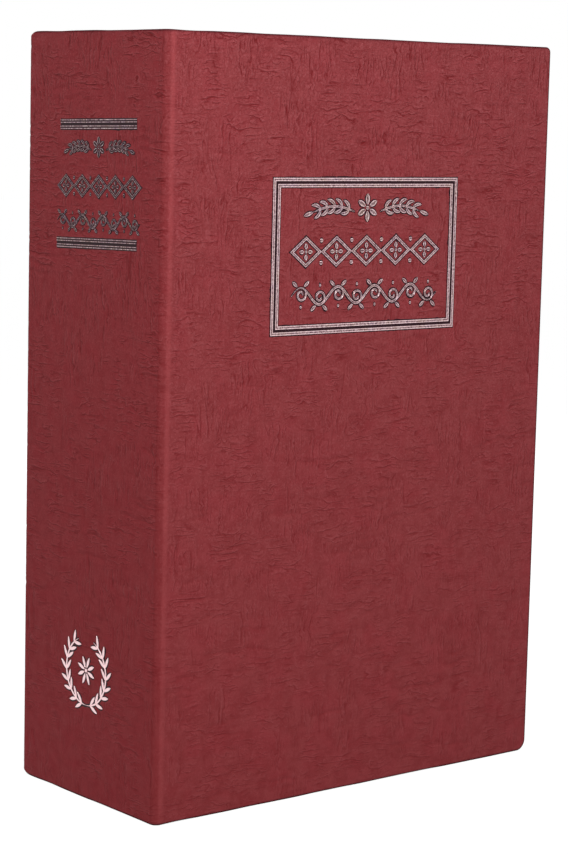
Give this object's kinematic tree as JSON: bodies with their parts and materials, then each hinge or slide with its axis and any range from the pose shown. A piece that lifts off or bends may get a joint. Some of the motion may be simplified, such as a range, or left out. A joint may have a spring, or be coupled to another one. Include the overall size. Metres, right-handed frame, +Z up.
{
  "type": "book diversion safe",
  "caption": "Hardcover book that hides a steel lock box: the front cover opens on a soft spine fold, and a keyed cam lock holds the hinged lid in a frame moulded like page edges.",
  "frame": {"origin": "middle of the footprint, on the surface that the book stands on", "axes": "+Z up along the book's height, -X towards the spine, +X towards the fore-edge, -Y towards the front cover, +Y towards the back cover"},
  "size_m": [0.119, 0.055, 0.18],
  "materials": {
    "leatherette": "embossed, satin, patchy dark red",
    "greyboard": "raw pressed board",
    "paper": "matt cream paper",
    "lining_cloth": "open woven cloth",
    "page_plastic": "moulded, ridged like page edges",
    "painted_steel": "fine texture black powder coat",
    "foam_tape": "closed cell foam",
    "plated_steel": "zinc plated",
    "nickel": "polished nickel plate",
    "brass": "turned brass"
  },
  "bodies": {
    "root": {"spine_and_back_wrap": "leatherette", "spine_board": "greyboard", "back_board": "greyboard", "back_joint_lining": "lining_cloth", "spine_lining": "paper", "back_endpaper": "paper", "page_frame": "page_plastic", "tray": "painted_steel", "mounting_pad_1": "foam_tape", "mounting_pad_2": "foam_tape", "mounting_pad_3": "foam_tape", "mounting_pad_4": "foam_tape", "lock_strike": "plated_steel", "tray_hinge_leaf": "painted_steel", "hinge_pin": "plated_steel", "tray_rivet_1": "plated_steel", "tray_rivet_2": "plated_steel", "tray_rivet_3": "plated_steel"},
    "cover_fold": {"joint_strip": "leatherette", "joint_lining": "lining_cloth"},
    "front_cover": {"front_wrap": "leatherette", "front_board": "greyboard", "front_endpaper": "paper"},
    "lid": {"lid_panel": "painted_steel", "lid_hinge_leaf": "painted_steel", "lid_rivet_1": "plated_steel", "lid_rivet_2": "plated_steel", "lid_rivet_3": "plated_steel", "lock_housing": "nickel", "lock_washer": "plated_steel", "lock_nut": "brass"},
    "lock_cylinder": {"lock_plug": "nickel", "lock_wafer_1": "brass", "lock_wafer_2": "brass", "lock_wafer_3": "brass", "lock_wafer_4": "brass", "lock_cam": "plated_steel", "cam_washer": "plated_steel", "cam_screw": "plated_steel"}
  },
  "joints": [
    {"name": "cover_spine_fold", "type": "hinge", "parent": "root", "child": "cover_fold", "pos_m": [-0.05635, -0.0275, 0.09], "axis": [0, 0, -1], "range_deg": [0, 100]},
    {"name": "cover_board_fold", "type": "hinge", "parent": "cover_fold", "child": "front_cover", "pos_m": [-0.05415, -0.0275, 0.09], "axis": [0, 0, -1], "range_deg": [0, 80]},
    {"name": "lid_hinge", "type": "hinge", "parent": "root", "child": "lid", "pos_m": [-0.046, -0.0197, 0.09], "axis": [0, 0, -1], "range_deg": [0, 100]},
    {"name": "lock_turn", "type": "hinge", "parent": "lid", "child": "lock_cylinder", "pos_m": [0.03, -0.0209, 0.09], "axis": [0, 1, 0], "range_deg": [0, 90]}
  ],
  "couplings": [
    {"joint": "lid_hinge", "follows": "cover_spine_fold", "ratio": 1}
  ]
}
